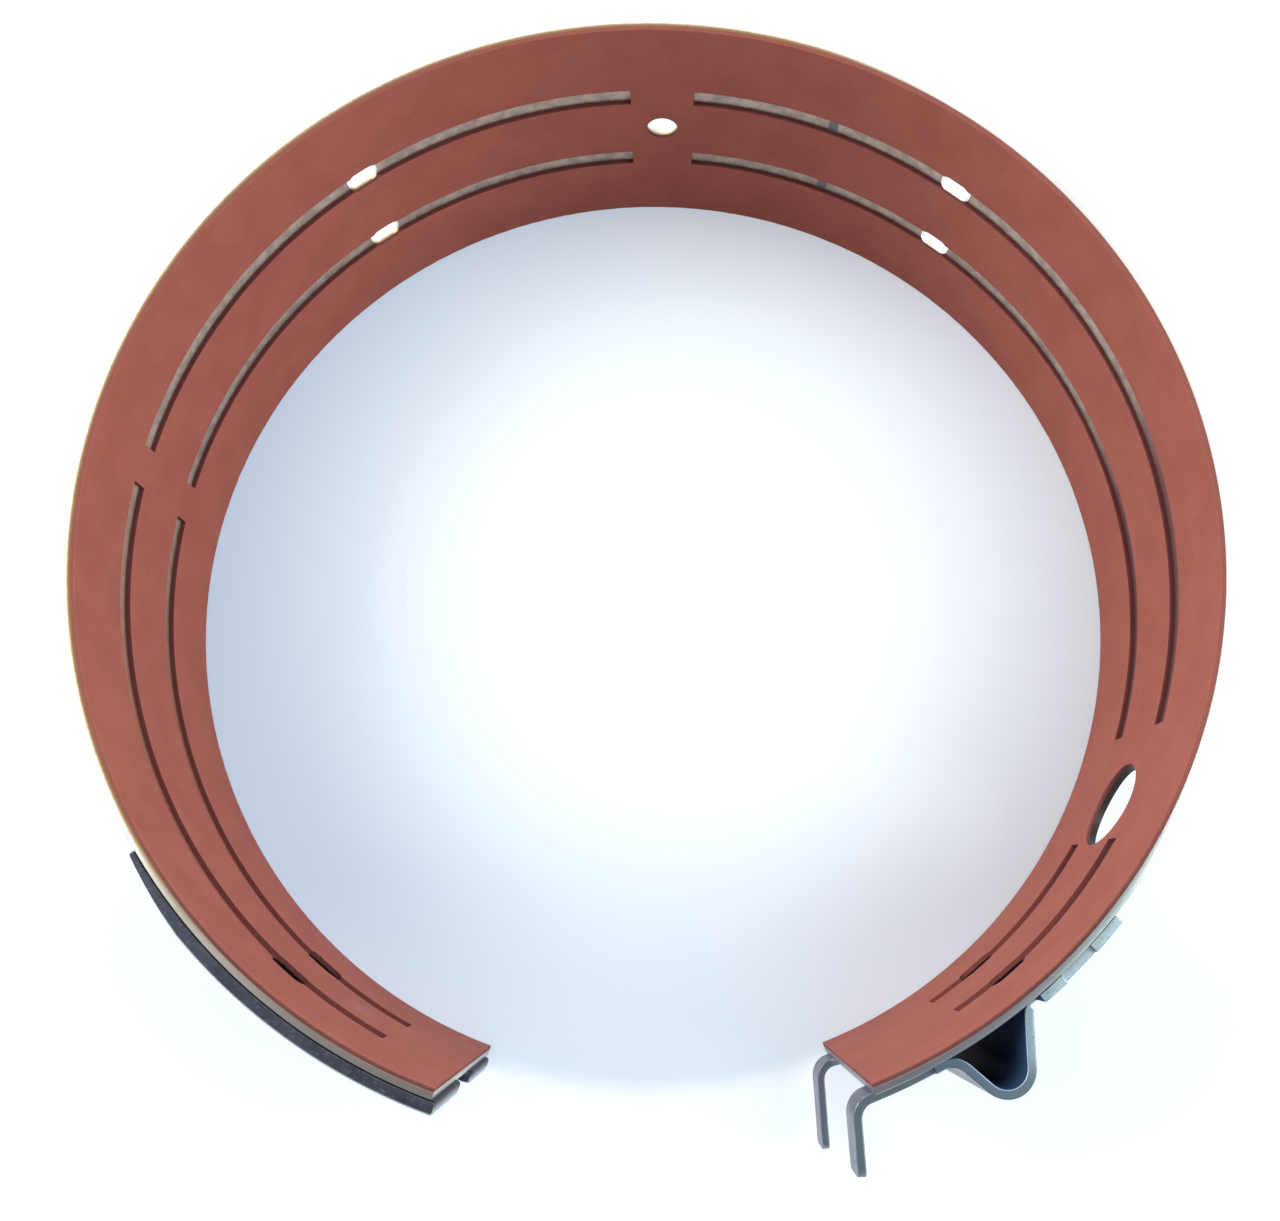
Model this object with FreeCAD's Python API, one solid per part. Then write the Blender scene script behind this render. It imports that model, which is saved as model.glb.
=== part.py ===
import FreeCAD, Part
import math
import os

# Wide automatic transmission band: an open steel strap with a friction lining bonded inside it,
# an anchor bracket welded on one end and an apply bracket with a pin loop and a fork on the other.
#
# Millimetres and degrees. The origin lies on the drum's axis at the band's lower edge, +Z runs
# along that axis, and the open gap faces -Y. Angles are measured from +X, counter-clockwise.

# Drum and band
DRUM_RADIUS = 97.5
BAND_WIDTH = 58.5
LINING_THICKNESS = 0.8
STRAP_THICKNESS = 1.2
GAP_ANGLE = 40.0

# Oil grooves, cut through the lining in two rows and broken by lands
GROOVE_WIDTH = 4.05
GROOVE_OFFSET = 9.85
APPLY_END_LAND_ANGLE = 12.0
ANCHOR_END_LAND_ANGLE = 8.0
LOWER_LAND_MIDDLE_ANGLE = -26.5
LOWER_LAND_WIDTH_ANGLE = 13.6
TOP_LAND_MIDDLE_ANGLE = 89.4
TOP_LAND_WIDTH_ANGLE = 7.6
SIDE_LAND_MIDDLE_ANGLE = 170.35
SIDE_LAND_WIDTH_ANGLE = 4.3

# Holes and slots punched through the strap and its lining
TOP_HOLE_ANGLE = 89.4
TOP_HOLE_DIAMETER = 6.5
LARGE_HOLE_ANGLE = -28.7
LARGE_HOLE_DIAMETER = 17.2
UPPER_SLOT_SPREAD_ANGLE = 37.6
UPPER_SLOT_LENGTH = 6.9
UPPER_SLOT_WIDTH = 5.0
LOWER_SLOT_SPREAD_ANGLE = 140.8
LOWER_SLOT_LENGTH = 7.7
LOWER_SLOT_WIDTH = 6.0
LOWER_SLOT_OFFSET = 10.35
SLOT_CORNER = 1.9

# Anchor bracket, a curved plate with a notch for the anchor strut
ANCHOR_THICKNESS = 2.2
ANCHOR_LENGTH = 62.5
ANCHOR_OVERHANG = 1.0
ANCHOR_TOE_THICKNESS = 1.1
ANCHOR_TOE_LENGTH = 15.0
NOTCH_WIDTH = 11.0
NOTCH_DEPTH = 8.0
NOTCH_CORNER = 1.5
NOTCH_MOUTH_RADIUS = 1.8
ANCHOR_LOWER_CORNER = 4.0

# Apply bracket, one bent sheet. Lengths run along the strap's back from its end.
SHEET = 1.5
HEEL_LENGTH = 48.3
HEEL_STEP_START = 35.2
HEEL_STEP_END = 41.8
HEEL_SET_BACK = 0.9
RELIEF_START = 28.5
RELIEF_WIDTH = 1.9
RELIEF_DEPTH = 5.0
LOOP_STEP_START = 10.2
LOOP_SET_BACK = 2.0
SOLE_SET_BACK = 3.0

# Pin loop of the apply bracket
LOOP_DISTANCE = 20.0
LOOP_INNER_RADIUS = 3.3
LOOP_CLEAR_HEIGHT = 9.3
FORE_FOOT_RADIUS = 3.0
FORE_FOOT_REACH = 8.8
HEEL_FOOT_RADIUS = 1.5
HEEL_FOOT_REACH = 9.6

# Fork of the apply bracket
FORK_BEND_RADIUS = 2.5
FORK_STAND_OFF = 1.7
FORK_LEAN_ANGLE = 3.0
UPPER_LEG_REACH = 12.5
LOWER_LEG_REACH = 16.4
FORK_LEG_WIDTH = 7.5
FORK_SLOT_DEPTH = 1.5
FORK_SLOT_CORNER = 2.5
FORK_TIP_CORNER = 1.2

# Spot welds that hold the two brackets on the strap, seen as shallow dimples
WELD_DIAMETER = 4.6
WELD_DEPTH = 0.25
WELD_ROW_SPREAD = 18.5
ANCHOR_WELD_DISTANCES = (14.0, 33.0, 53.0)
HEEL_WELD_DISTANCE = 38.5
SOLE_WELD_DISTANCE = 5.0

# How far a cutter runs past the face that it cuts, and how near two points count as one
PAST = 2.0
SAME_POINT = 1e-6

# Turns, and the way that the gap faces
FULL_TURN = 360.0
QUARTER_TURN = 90.0
GAP_DIRECTION = -90.0

# Derived radii and levels
STRAP_INNER = DRUM_RADIUS + LINING_THICKNESS
STRAP_OUTER = STRAP_INNER + STRAP_THICKNESS
ANCHOR_OUTER = STRAP_OUTER + ANCHOR_THICKNESS
SHEET_OUTER = STRAP_OUTER + SHEET
MID_WIDTH = BAND_WIDTH / 2

# The band runs counter-clockwise from its apply end to its anchor end
APPLY_END = GAP_DIRECTION + GAP_ANGLE / 2
ANCHOR_END = GAP_DIRECTION + FULL_TURN - GAP_ANGLE / 2
LEG_HEADING = GAP_DIRECTION + FORK_LEAN_ANGLE


def polar(radius, angle, height=0.0):
    """Point at a radius and angle about the drum's axis."""
    turn = math.radians(angle)
    return FreeCAD.Vector(radius * math.cos(turn), radius * math.sin(turn), height)


def arc_angle(distance):
    """Angle that a distance along the strap's back takes up."""
    return math.degrees(distance / STRAP_OUTER)


def turned(shape, angle):
    """Copy of a shape that was drawn at +X, turned about the drum's axis."""
    copy = shape.copy()
    copy.rotate(FreeCAD.Vector(0, 0, 0), FreeCAD.Vector(0, 0, 1), angle)
    return copy


def arc_about_axis(radius, start, end, height=0.0):
    """Arc about the drum's axis from one angle to another."""
    middle = (start + end) / 2
    points = [polar(radius, angle, height) for angle in (start, middle, end)]
    return Part.Arc(*points).toShape()


def raised(edges, height):
    """Solid raised along +Z from a closed outline."""
    outline = Part.Wire(Part.__sortEdges__(edges))
    return Part.Face(outline).extrude(FreeCAD.Vector(0, 0, height))


def ring_sector(inner, outer, start, end, low, high):
    """Solid between two radii, two angles and two levels."""
    edges = [
        arc_about_axis(inner, start, end, low),
        arc_about_axis(outer, start, end, low),
        Part.makeLine(polar(inner, start, low), polar(outer, start, low)),
        Part.makeLine(polar(inner, end, low), polar(outer, end, low)),
    ]
    return raised(edges, high - low)


def round_cutter(angle, diameter, level):
    """Radial cylinder that punches a round hole."""
    start = FreeCAD.Vector(DRUM_RADIUS - PAST, 0, level)
    length = STRAP_OUTER - DRUM_RADIUS + 2 * PAST
    cylinder = Part.makeCylinder(diameter / 2, length, start, FreeCAD.Vector(1, 0, 0))
    return turned(cylinder, angle)


def runs_along_x(edge):
    """Whether a straight edge points along X more than along Y and Z."""
    tangent = edge.tangentAt(edge.FirstParameter)
    return abs(tangent.x) > abs(tangent.y) + abs(tangent.z)


def radial_prism(angle, inner, outer, side_low, side_high, low, high, corner):
    """Block that points outward at an angle, with its four radial edges rounded."""
    size = (outer - inner, side_high - side_low, high - low)
    block = Part.makeBox(*size, FreeCAD.Vector(inner, side_low, low))
    radial_edges = [edge for edge in block.Edges if runs_along_x(edge)]
    return turned(block.makeFillet(corner, radial_edges), angle)


def slot_cutter(angle, level, length, width):
    """Rounded radial block that punches one oil slot."""
    return radial_prism(
        angle,
        DRUM_RADIUS - PAST,
        STRAP_OUTER + PAST,
        -length / 2,
        length / 2,
        level - width / 2,
        level + width / 2,
        SLOT_CORNER,
    )


def row_levels(offset):
    """Heights of two rows that lie either side of the band's middle."""
    return (MID_WIDTH - offset, MID_WIDTH + offset)


def groove_spans():
    """Start and end angles of the grooves that the lands leave in one row."""
    lands = (
        (LOWER_LAND_MIDDLE_ANGLE, LOWER_LAND_WIDTH_ANGLE),
        (TOP_LAND_MIDDLE_ANGLE, TOP_LAND_WIDTH_ANGLE),
        (SIDE_LAND_MIDDLE_ANGLE, SIDE_LAND_WIDTH_ANGLE),
    )
    starts = [APPLY_END + APPLY_END_LAND_ANGLE]
    ends = []
    for middle, width in lands:
        ends.append(middle - width / 2)
        starts.append(middle + width / 2)
    ends.append(ANCHOR_END - ANCHOR_END_LAND_ANGLE)
    return list(zip(starts, ends))


def punched(shape):
    """A ring with the round holes and the oil slots punched through it."""
    cutters = [
        round_cutter(TOP_HOLE_ANGLE, TOP_HOLE_DIAMETER, MID_WIDTH),
        round_cutter(LARGE_HOLE_ANGLE, LARGE_HOLE_DIAMETER, MID_WIDTH),
    ]
    slots = (
        (UPPER_SLOT_SPREAD_ANGLE, GROOVE_OFFSET, UPPER_SLOT_LENGTH, UPPER_SLOT_WIDTH),
        (LOWER_SLOT_SPREAD_ANGLE, LOWER_SLOT_OFFSET, LOWER_SLOT_LENGTH, LOWER_SLOT_WIDTH),
    )
    for spread, offset, length, width in slots:
        for angle in (TOP_HOLE_ANGLE - spread, TOP_HOLE_ANGLE + spread):
            for level in row_levels(offset):
                cutters.append(slot_cutter(angle, level, length, width))
    return shape.cut(cutters)


def fillet_near(shape, radius, points):
    """Round the edges whose middles lie nearest to the given points."""
    edges = []
    for point in points:
        edges.append(min(shape.Edges, key=lambda edge: edge.CenterOfMass.distanceToPoint(point)))
    return shape.makeFillet(radius, edges)


def weld_cutter(angle, surface_radius, level):
    """Shallow ball cap that leaves one spot weld's dimple in an outer face."""
    ball_radius = (WELD_DIAMETER**2 / 4 + WELD_DEPTH**2) / (2 * WELD_DEPTH)
    centre = FreeCAD.Vector(surface_radius - WELD_DEPTH + ball_radius, 0, level)
    ball = Part.makeSphere(ball_radius, centre)
    reach = WELD_DIAMETER
    corner = FreeCAD.Vector(surface_radius - reach, -reach, level - reach)
    window = Part.makeBox(2 * reach, 2 * reach, 2 * reach, corner)
    return turned(ball.common(window), angle)


def weld_levels():
    """Heights of the three rows of spot welds."""
    return (MID_WIDTH - WELD_ROW_SPREAD, MID_WIDTH, MID_WIDTH + WELD_ROW_SPREAD)


def band_strap():
    """Rolled steel strap with its punched holes and slots."""
    ring = ring_sector(STRAP_INNER, STRAP_OUTER, APPLY_END, ANCHOR_END, 0.0, BAND_WIDTH)
    return punched(ring)


def friction_lining():
    """Bonded lining with two rows of grooves that go through to the strap."""
    ring = ring_sector(DRUM_RADIUS, STRAP_INNER, APPLY_END, ANCHOR_END, 0.0, BAND_WIDTH)
    inner = DRUM_RADIUS - PAST
    outer = STRAP_INNER + PAST
    grooves = []
    for level in row_levels(GROOVE_OFFSET):
        low = level - GROOVE_WIDTH / 2
        high = level + GROOVE_WIDTH / 2
        for start, end in groove_spans():
            grooves.append(ring_sector(inner, outer, start, end, low, high))
    return punched(ring.cut(grooves))


def anchor_plate():
    """Curved plate on the strap's back, thinned to a toe where it starts."""
    toe = ANCHOR_END - arc_angle(ANCHOR_LENGTH)
    full = toe + arc_angle(ANCHOR_TOE_LENGTH)
    tip = ANCHOR_END + arc_angle(ANCHOR_OVERHANG)
    toe_outer = STRAP_OUTER + ANCHOR_TOE_THICKNESS
    bulge = (ANCHOR_OUTER + toe_outer) / 2
    slope = Part.Arc(polar(toe_outer, toe), polar(bulge, (toe + full) / 2), polar(ANCHOR_OUTER, full))
    edges = [
        arc_about_axis(STRAP_OUTER, toe, tip),
        Part.makeLine(polar(STRAP_OUTER, toe), polar(toe_outer, toe)),
        slope.toShape(),
        arc_about_axis(ANCHOR_OUTER, full, tip),
        Part.makeLine(polar(STRAP_OUTER, tip), polar(ANCHOR_OUTER, tip)),
    ]
    return raised(edges, BAND_WIDTH)


def anchor_bracket():
    """Anchor plate with its strut notch, rounded corners and weld dimples."""
    tip = ANCHOR_END + arc_angle(ANCHOR_OVERHANG)
    low = MID_WIDTH - NOTCH_WIDTH / 2
    high = MID_WIDTH + NOTCH_WIDTH / 2
    inner = STRAP_OUTER - PAST
    outer = ANCHOR_OUTER + PAST
    notch = radial_prism(tip, inner, outer, -NOTCH_DEPTH, NOTCH_DEPTH, low, high, NOTCH_CORNER)
    plate = anchor_plate().cut(notch)
    middle = (STRAP_OUTER + ANCHOR_OUTER) / 2
    plate = fillet_near(plate, NOTCH_MOUTH_RADIUS, [polar(middle, tip, low), polar(middle, tip, high)])
    plate = fillet_near(plate, ANCHOR_LOWER_CORNER, [polar(middle, tip, 0.0)])
    welds = []
    for distance in ANCHOR_WELD_DISTANCES:
        for level in weld_levels():
            welds.append(weld_cutter(ANCHOR_END - arc_angle(distance), ANCHOR_OUTER, level))
    return plate.cut(welds)


class Bend:
    """One bend of a sheet: its centre, the radius at the sheet's middle and which way it turns."""

    def __init__(self, centre, middle_radius, turn):
        self.centre = centre
        self.middle_radius = middle_radius
        self.turn = turn

    def point(self, heading, offset):
        """Point where the sheet's middle runs along a heading, moved to its left by an offset."""
        left = math.radians(heading + QUARTER_TURN)
        reach = offset - self.turn * self.middle_radius
        return self.centre + FreeCAD.Vector(reach * math.cos(left), reach * math.sin(left), 0)


def heading_between(first, second):
    """Heading of the straight run that joins two bends which turn opposite ways."""
    link = second.centre - first.centre
    radii = first.middle_radius + second.middle_radius
    lean = math.degrees(math.asin(min(1.0, radii / link.Length)))
    return math.degrees(math.atan2(link.y, link.x)) + first.turn * lean


def headings_along(bends, first, last):
    """Headings at which the sheet enters and leaves each bend, without jumps of a full turn."""
    wanted = [heading_between(bend, following) for bend, following in zip(bends, bends[1:])]
    headings = [first]
    for bend, heading in zip(bends, wanted + [last]):
        travel = (bend.turn * (heading - headings[-1])) % FULL_TURN
        headings.append(headings[-1] + bend.turn * travel)
    return headings


def sheet_side(bends, headings, offset, last_run):
    """Edges of one face of a bent sheet, from its first bend to the end of its last run."""
    edges = []
    corner = bends[0].point(headings[0], offset)
    for bend, start, end in zip(bends, headings, headings[1:]):
        points = [bend.point(heading, offset) for heading in (start, (start + end) / 2, end)]
        if corner.distanceToPoint(points[0]) > SAME_POINT:
            edges.append(Part.makeLine(corner, points[0]))
        edges.append(Part.Arc(*points).toShape())
        corner = points[2]
    edges.append(Part.makeLine(corner, corner + last_run))
    return edges


def apply_bends():
    """Bends of the apply bracket from its heel, over the pin loop, to its fork."""
    half = SHEET / 2
    axis = FreeCAD.Vector(0, 0, 0)
    loop_angle = APPLY_END + arc_angle(LOOP_DISTANCE)

    def beside_loop(radius, reach):
        """Point at a radius from the drum's axis and a distance beside the loop's middle line."""
        return polar(radius, loop_angle + math.degrees(math.asin(reach / radius)))

    heel_foot = beside_loop(SHEET_OUTER + HEEL_FOOT_RADIUS, HEEL_FOOT_REACH)
    fore_foot = beside_loop(SHEET_OUTER + FORE_FOOT_RADIUS, -FORE_FOOT_REACH)
    loop = polar(STRAP_OUTER + LOOP_CLEAR_HEIGHT - LOOP_INNER_RADIUS, loop_angle)
    return [
        Bend(axis, STRAP_OUTER + half, -1),
        Bend(heel_foot, HEEL_FOOT_RADIUS + half, 1),
        Bend(loop, LOOP_INNER_RADIUS + half, -1),
        Bend(fore_foot, FORE_FOOT_RADIUS + half, 1),
        Bend(axis, STRAP_OUTER + half, -1),
        Bend(fork_bend_centre(), FORK_BEND_RADIUS + half, 1),
    ]


def fork_bend_centre():
    """Centre of the fork's bend, just past the strap's end and tangent to the sheet's back."""
    x = polar(STRAP_OUTER, APPLY_END).x - FORK_STAND_OFF + FORK_BEND_RADIUS
    return FreeCAD.Vector(x, -math.sqrt((SHEET_OUTER + FORK_BEND_RADIUS) ** 2 - x**2), 0)


def apply_sheet():
    """Bent sheet of the apply bracket at the band's full width, before its edges are cut."""
    half = SHEET / 2
    bends = apply_bends()
    heel = APPLY_END + arc_angle(HEEL_LENGTH)
    headings = headings_along(bends, heel - QUARTER_TURN, LEG_HEADING)
    tip = polar(STRAP_OUTER, APPLY_END).y - LOWER_LEG_REACH
    last_run = polar((fork_bend_centre().y - tip) / math.cos(math.radians(FORK_LEAN_ANGLE)), LEG_HEADING)
    back = sheet_side(bends, headings, half, last_run)
    front = sheet_side(bends, headings, -half, last_run)
    ends = [
        Part.makeLine(polar(STRAP_OUTER, heel), polar(SHEET_OUTER, heel)),
        Part.makeLine(back[-1].Vertexes[-1].Point, front[-1].Vertexes[-1].Point),
    ]
    return raised(back + front + ends, BAND_WIDTH)


def edge_cutters(start, end, set_back):
    """Ring sectors that cut both long edges of the sheet back between two distances."""
    inner = STRAP_OUTER - PAST
    outer = SHEET_OUTER + LOOP_CLEAR_HEIGHT + LOWER_LEG_REACH
    angles = (APPLY_END + arc_angle(start), APPLY_END + arc_angle(end))
    return [
        ring_sector(inner, outer, *angles, -PAST, set_back),
        ring_sector(inner, outer, *angles, BAND_WIDTH - set_back, BAND_WIDTH + PAST),
    ]


def fork_legs():
    """Lowest level, highest level and reach of the lower and the upper leg."""
    low = SOLE_SET_BACK
    high = BAND_WIDTH - SOLE_SET_BACK
    return (
        (low, low + FORK_LEG_WIDTH, LOWER_LEG_REACH),
        (high - FORK_LEG_WIDTH, high, UPPER_LEG_REACH),
    )


def fork_cutters():
    """Slot between the fork's legs, and the block that shortens the upper leg."""
    lower_leg, upper_leg = fork_legs()
    reach = LOWER_LEG_REACH + FORK_STAND_OFF
    inner = STRAP_OUTER - PAST
    outer = SHEET_OUTER + reach
    levels = (lower_leg[1], upper_leg[0])
    slot = radial_prism(APPLY_END, inner, outer, -reach, FORK_SLOT_DEPTH, *levels, FORK_SLOT_CORNER)
    end = polar(STRAP_OUTER, APPLY_END)
    over = LOWER_LEG_REACH - UPPER_LEG_REACH + PAST
    near = FreeCAD.Vector(end.x - reach, end.y - UPPER_LEG_REACH - over, MID_WIDTH)
    return [slot, Part.makeBox(2 * reach, over, BAND_WIDTH, near)]


def fork_tip_corners():
    """Middles of the four short edges at the fork's two tips."""
    end = polar(STRAP_OUTER, APPLY_END)
    lean = math.tan(math.radians(FORK_LEAN_ANGLE))
    corners = []
    for low, high, reach in fork_legs():
        x = end.x - FORK_STAND_OFF - SHEET / 2 + reach * lean
        corners.append(FreeCAD.Vector(x, end.y - reach, low))
        corners.append(FreeCAD.Vector(x, end.y - reach, high))
    return corners


def apply_bracket():
    """Apply bracket: heel, pin loop, sole and fork, with stepped edges and weld dimples."""
    cutters = edge_cutters(HEEL_STEP_START, HEEL_STEP_END, HEEL_SET_BACK)
    cutters += edge_cutters(RELIEF_START, RELIEF_START + RELIEF_WIDTH, RELIEF_DEPTH)
    cutters += edge_cutters(LOOP_STEP_START, RELIEF_START, LOOP_SET_BACK)
    cutters += edge_cutters(-LOWER_LEG_REACH, LOOP_STEP_START, SOLE_SET_BACK)
    cutters += fork_cutters()
    bracket = apply_sheet().cut(cutters)
    bracket = fillet_near(bracket, FORK_TIP_CORNER, fork_tip_corners())
    welds = []
    for distance in (HEEL_WELD_DISTANCE, SOLE_WELD_DISTANCE):
        for level in weld_levels():
            welds.append(weld_cutter(APPLY_END + arc_angle(distance), SHEET_OUTER, level))
    return bracket.cut(welds)


def main():
    """Write one STEP file for each piece."""
    os.makedirs("parts", exist_ok=True)
    pieces = {
        "band_strap": band_strap(),
        "friction_lining": friction_lining(),
        "anchor_bracket": anchor_bracket(),
        "apply_bracket": apply_bracket(),
    }
    for name, shape in pieces.items():
        shape.exportStep(f"parts/{name}.step")
        print(name, shape.ShapeType, len(shape.Solids), shape.isValid(), round(shape.Volume, 1))


main()
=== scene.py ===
"""An automatic transmission's brake band, lying on its edge on a pale studio floor."""
import logging
import math
from collections.abc import Callable, Iterator
from contextlib import contextmanager
from dataclasses import dataclass
from enum import Enum

import bmesh
import bpy
from mathutils import Matrix, Vector


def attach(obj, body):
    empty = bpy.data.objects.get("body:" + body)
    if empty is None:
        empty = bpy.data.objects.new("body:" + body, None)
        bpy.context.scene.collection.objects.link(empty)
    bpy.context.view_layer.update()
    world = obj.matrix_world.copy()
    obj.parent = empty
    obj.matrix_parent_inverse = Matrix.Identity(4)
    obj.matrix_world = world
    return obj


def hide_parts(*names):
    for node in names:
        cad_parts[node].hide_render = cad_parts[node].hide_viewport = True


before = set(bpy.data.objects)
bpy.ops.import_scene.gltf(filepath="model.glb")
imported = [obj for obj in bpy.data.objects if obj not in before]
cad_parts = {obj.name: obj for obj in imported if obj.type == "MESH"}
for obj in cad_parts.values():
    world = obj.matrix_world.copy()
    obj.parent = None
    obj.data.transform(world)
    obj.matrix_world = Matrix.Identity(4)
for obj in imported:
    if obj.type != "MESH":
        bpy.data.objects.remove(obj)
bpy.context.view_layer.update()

logging.basicConfig(level=logging.INFO, format="%(message)s")
LOG = logging.getLogger("band")

Socket = bpy.types.NodeSocket
Value = Socket | float | tuple | Vector
Limits = tuple[float, float]

MM = 0.001
LINING_INNER = 97.5 * MM
LINING_OUTER = 98.3 * MM
STRAP_OUTER = 99.5 * MM
WIDTH = 58.5 * MM
MID_WIDTH = WIDTH / 2
FULL_TURN = 360.0
GAP_DIRECTION = -90.0
APPLY_END = -70.0
ANCHOR_END = 250.0
GROOVE_WIDTH = 4.05 * MM
GROOVE_OFFSET = 9.85 * MM
GROOVE_ROWS = (MID_WIDTH - GROOVE_OFFSET, MID_WIDTH + GROOVE_OFFSET)
PLATE_OUTER = STRAP_OUTER + 2.2 * MM
SHEET_OUTER = STRAP_OUTER + 1.5 * MM
ANCHOR_WELDS = (14.0 * MM, 33.0 * MM, 53.0 * MM)
APPLY_WELDS = (5.0 * MM, 38.5 * MM)
WELD_LEVELS = (10.75 * MM, 29.25 * MM, 47.75 * MM)
WELD_EDGE = (2.9 * MM, 2.5 * MM)
WELD_HEAT = (4.8 * MM, 3.0 * MM)
PLAIN_SHEEN = 0.5
LOOP_SHADE_SHEEN = 0.007
ANGLE_SLACK = 0.001
MERGE = 0.004 * MM


def linear(hex_colour: str) -> tuple[float, float, float, float]:
    """Turns an sRGB hex colour into linear light.

    Args:
        hex_colour: Six hex digits, two each for red, green and blue.

    Returns:
        Linear red, green and blue, with an alpha of one.
    """
    shares = [int(hex_colour[i:i + 2], 16) / 255 for i in (0, 2, 4)]
    light = [s / 12.92 if s <= 0.04045 else ((s + 0.055) / 1.055) ** 2.4 for s in shares]
    return (light[0], light[1], light[2], 1.0)


def add(tree: bpy.types.NodeTree, kind: str, links: dict[str | int, Value] | None = None,
        **settings: object) -> bpy.types.Node:
    """Adds one node with its settings and its inputs.

    Args:
        tree: The node tree that gets the node.
        kind: The node's type, without the leading ShaderNode.
        links: Input name or number, with the socket that feeds it or the value it is set to.
        settings: The node's own settings.

    Returns:
        The new node.
    """
    made = tree.nodes.new("ShaderNode" + kind)
    for name, value in settings.items():
        setattr(made, name, value)
    for name, value in (links or {}).items():
        if isinstance(value, bpy.types.NodeSocket):
            tree.links.new(value, made.inputs[name])
        else:
            made.inputs[name].default_value = value
    return made


def polar(radius: float, degrees: float, height: float) -> Vector:
    """Gives the place at a radius, an angle about the drum's axis and a height."""
    turn = math.radians(degrees)
    return Vector((radius * math.cos(turn), radius * math.sin(turn), height))


def angle_of(place: Vector) -> float:
    """Gives a place's angle about the drum's axis in degrees, from the gap onwards."""
    return (math.degrees(math.atan2(place.y, place.x)) - GAP_DIRECTION) % FULL_TURN + GAP_DIRECTION


class Surface:
    """A material's node tree with the places and masks that this band's finishes share."""

    def __init__(self, name: str) -> None:
        """Starts a material.

        Args:
            name: The material's name.
        """
        self.material = bpy.data.materials.new(name)
        self.material.use_nodes = True
        self.tree = self.material.node_tree
        self.tree.nodes.clear()
        self.place = add(self.tree, "TexCoord").outputs["Object"]
        axes = add(self.tree, "SeparateXYZ", {0: self.place})
        self.x, self.y, self.z = axes.outputs
        flat = add(self.tree, "CombineXYZ", {0: self.x, 1: self.y, 2: 0.0}).outputs[0]
        self.radius = self.vector("LENGTH", flat, outlet="Value")
        self.outward = self.vector("NORMALIZE", flat)
        self.normal = add(self.tree, "NewGeometry").outputs["Normal"]
        self.from_middle = self.maths("ABSOLUTE", self.maths("SUBTRACT", self.z, MID_WIDTH))
        self.tilt = self.maths("ABSOLUTE", self.dot(self.normal, (0.0, 0.0, 1.0)))

    def maths(self, operation: str, first: Value, second: Value = 0.0, third: Value = 0.0) -> Socket:
        """Works out one sum.

        Args:
            operation: The sum's name.
            first: A socket or a number.
            second: A socket or a number.
            third: A socket or a number.

        Returns:
            The socket with its result.
        """
        return add(self.tree, "Math", {0: first, 1: second, 2: third}, operation=operation).outputs[0]

    def vector(self, operation: str, first: Value, second: Value = (0.0, 0.0, 0.0),
               outlet: str = "Vector") -> Socket:
        """Works out one sum of vectors.

        Args:
            operation: The sum's name.
            first: A socket or a vector.
            second: A socket or a vector.
            outlet: The node's output, Vector, or Value for a number.

        Returns:
            The socket with its result.
        """
        return add(self.tree, "VectorMath", {0: first, 1: second}, operation=operation).outputs[outlet]

    def dot(self, first: Value, second: Value) -> Socket:
        """Gives the dot product of two vectors."""
        return self.vector("DOT_PRODUCT", first, second, "Value")

    def both(self, first: Value, second: Value) -> Socket:
        """Gives the mask that is one where both masks are."""
        return self.maths("MULTIPLY", first, second)

    def flip(self, mask: Value) -> Socket:
        """Gives the opposite of a mask."""
        return self.maths("SUBTRACT", 1.0, mask)

    def share(self, mask: Value, part: float) -> Socket:
        """Weakens a mask to a part of its strength."""
        return self.maths("MULTIPLY", mask, part)

    def ragged(self, value: Value, noise: Value, depth: float) -> Socket:
        """Moves a value by noise up to a depth in metres, so that a mask of it has a ragged border."""
        return self.maths("MULTIPLY_ADD", noise, depth, value)

    def toward_gap(self, start: float, end: float) -> Socket:
        """Makes a soft mask that grows round the band towards its open gap.

        Args:
            start: The cosine of the angle from the gap where the mask is zero.
            end: The cosine where it is one.

        Returns:
            The mask's socket.
        """
        return self.step(self.dot(self.outward, polar(1.0, GAP_DIRECTION, 0.0)), start, end)

    def resin_shows(self) -> Socket:
        """Gives the mask of where resin colours the near rims: not on the right, and little at the gap."""
        at_gap = self.share(self.toward_gap(0.5, 0.78), 0.9)
        return self.both(self.step(self.x, 60 * MM, 30 * MM), self.flip(at_gap))

    def step(self, value: Value, start: float, end: float) -> Socket:
        """Makes a soft mask.

        Args:
            value: The socket that is looked at.
            start: Where the mask is zero.
            end: Where the mask is one, which may be lower than start.

        Returns:
            The mask's socket.
        """
        made = add(self.tree, "MapRange", {"Value": value, "From Min": start, "From Max": end},
                   interpolation_type="SMOOTHSTEP")
        return made.outputs["Result"]

    def across(self) -> Socket:
        """Gives the mask of the faces that don't look along the band's radius, its cut walls and rims."""
        return self.step(self.maths("ABSOLUTE", self.dot(self.normal, self.outward)), 0.75, 0.4)

    def upright(self) -> Socket:
        """Gives the mask of the faces that look along the drum's axis."""
        return self.step(self.tilt, 0.6, 0.9)

    def rubbed(self) -> Socket:
        """Gives the mask of the eased edges, which look half along the axis and half away from it."""
        return self.both(self.step(self.tilt, 0.15, 0.45), self.step(self.tilt, 0.98, 0.8))

    def unrolled(self, scale: tuple[float, float, float]) -> Socket:
        """Lays the band out flat, with the seam in its open gap.

        Args:
            scale: How much the way round, the thickness and the width are stretched.

        Returns:
            A place in metres: way round, radius, height.
        """
        turn = self.maths("ARCTAN2", self.x, self.y)
        round_way = self.maths("MULTIPLY", turn, LINING_INNER)
        flat = add(self.tree, "CombineXYZ", {0: round_way, 1: self.radius, 2: self.z}).outputs[0]
        return add(self.tree, "Mapping", {"Vector": flat, "Scale": scale}).outputs[0]

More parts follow.
